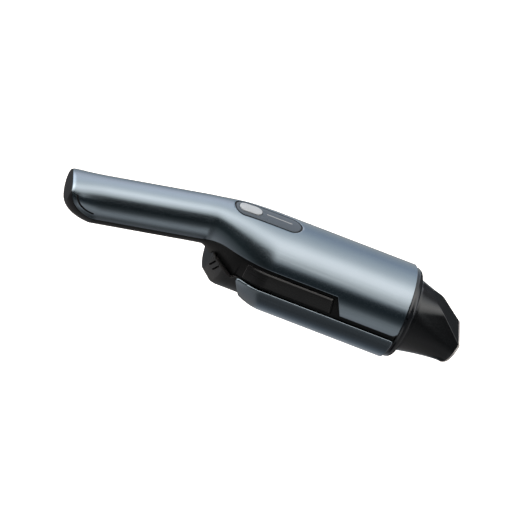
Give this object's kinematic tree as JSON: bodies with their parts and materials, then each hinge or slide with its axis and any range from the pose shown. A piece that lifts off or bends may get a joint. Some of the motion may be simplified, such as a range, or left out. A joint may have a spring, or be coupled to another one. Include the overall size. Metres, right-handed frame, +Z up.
{
  "type": "cordless handheld vacuum cleaner",
  "caption": "Cordless handheld vacuum: round barrel with removable dust cup, wide slanted nozzle and a straight handle angled down behind it.",
  "frame": {"origin": "middle of the flat under the barrel, which the vacuum rests on", "axes": "+X along the barrel towards the nozzle, +Z up, +Y to the left"},
  "size_m": [0.3472, 0.08, 0.0797],
  "materials": {
    "shell_blue": "metallic satin steel-blue coating",
    "black_plastic": "fine moulded texture",
    "panel_gloss": "smooth",
    "black_rubber": "matte",
    "button_grey": "satin",
    "lens_white": "translucent light pipe",
    "circuit_board": "solder mask",
    "cell_wrap": "shrink sleeve",
    "steel": "plain",
    "magnet": "sintered",
    "brass_parts": "plain",
    "copper_winding": "wound core",
    "fan_plastic": "moulded",
    "grey_plastic": "moulded",
    "foam": "open-cell foam",
    "lever_gloss": "satin gloss",
    "cup_smoke": "smoked clear",
    "ring_gloss": "gloss",
    "filter_paper": "pleated paper",
    "mesh_steel": "woven mesh",
    "nozzle_gloss": "high gloss"
  },
  "bodies": {
    "body": {"upper_shell": "shell_blue", "lower_shell": "shell_blue", "handle_frame": "black_plastic", "barrel_frame": "black_plastic", "rear_cover": "black_plastic", "handle_end_cap": "black_plastic", "usb_socket": "steel", "charge_board": "circuit_board", "handle_screws": "steel", "control_panel": "panel_gloss", "panel_gasket": "black_rubber", "tact_switch": "black_plastic", "indicator_lens": "lens_white", "indicator_leds": "lens_white", "control_board": "circuit_board", "battery_cell_left": "cell_wrap", "battery_cell_right": "cell_wrap", "battery_holder": "black_plastic", "nickel_strips": "steel", "motor_can": "steel", "motor_magnets": "magnet", "motor_end_bell": "black_plastic", "motor_terminals": "brass_parts", "motor_screws": "steel", "motor_rubber_ring": "black_rubber", "front_bearing": "steel", "rear_bearing": "steel", "fan_housing": "grey_plastic", "fan_shroud": "grey_plastic", "bulkhead": "black_plastic", "cup_seal": "black_rubber", "exhaust_foam": "foam"},
    "button": {"power_button": "button_grey"},
    "rotor": {"motor_shaft": "steel", "rotor_core": "copper_winding", "commutator": "brass_parts", "impeller": "fan_plastic"},
    "left_lever": {"left_release_lever": "lever_gloss"},
    "right_lever": {"right_release_lever": "lever_gloss"},
    "cup": {"dust_cup": "cup_smoke", "front_ring": "ring_gloss", "inlet_duct": "cup_smoke", "flap_pin": "steel"},
    "flap": {"inlet_flap": "black_rubber"},
    "filter": {"filter_frame": "black_plastic", "hepa_filter": "filter_paper", "filter_mesh": "mesh_steel"},
    "nozzle": {"nozzle": "nozzle_gloss", "nozzle_seal": "black_rubber"}
  },
  "joints": [
    {"name": "button_press", "type": "slide", "parent": "body", "child": "button", "axis": [0, 0, -1], "range_m": [0, 0.0008], "stiffness_N_per_m": 1500},
    {"name": "rotor_spin", "type": "hinge", "parent": "body", "child": "rotor", "pos_m": [-0.06, 0, 0.039], "axis": [1, 0, 0], "continuous": true},
    {"name": "left_lever_press", "type": "hinge", "parent": "body", "child": "left_lever", "pos_m": [-0.074, 0.036, 0.0424], "axis": [0, 0, -1], "range_deg": [0, 1.4], "stiffness_Nm_per_rad": 4},
    {"name": "right_lever_press", "type": "hinge", "parent": "body", "child": "right_lever", "pos_m": [-0.074, -0.036, 0.0424], "axis": [0, 0, 1], "range_deg": [0, 1.4], "stiffness_Nm_per_rad": 4},
    {"name": "cup_slide", "type": "slide", "parent": "body", "child": "cup", "axis": [1, 0, 0], "range_m": [0, 0.095]},
    {"name": "flap_hinge", "type": "hinge", "parent": "cup", "child": "flap", "pos_m": [0.0258, 0, 0.0556], "axis": [0, 1, 0], "range_deg": [0, 30]},
    {"name": "filter_twist", "type": "hinge", "parent": "cup", "child": "filter", "pos_m": [-0.024, 0, 0.039], "axis": [1, 0, 0], "range_deg": [0, 30]},
    {"name": "nozzle_pull", "type": "slide", "parent": "cup", "child": "nozzle", "axis": [1, 0, 0], "range_m": [0, 0.014]}
  ]
}
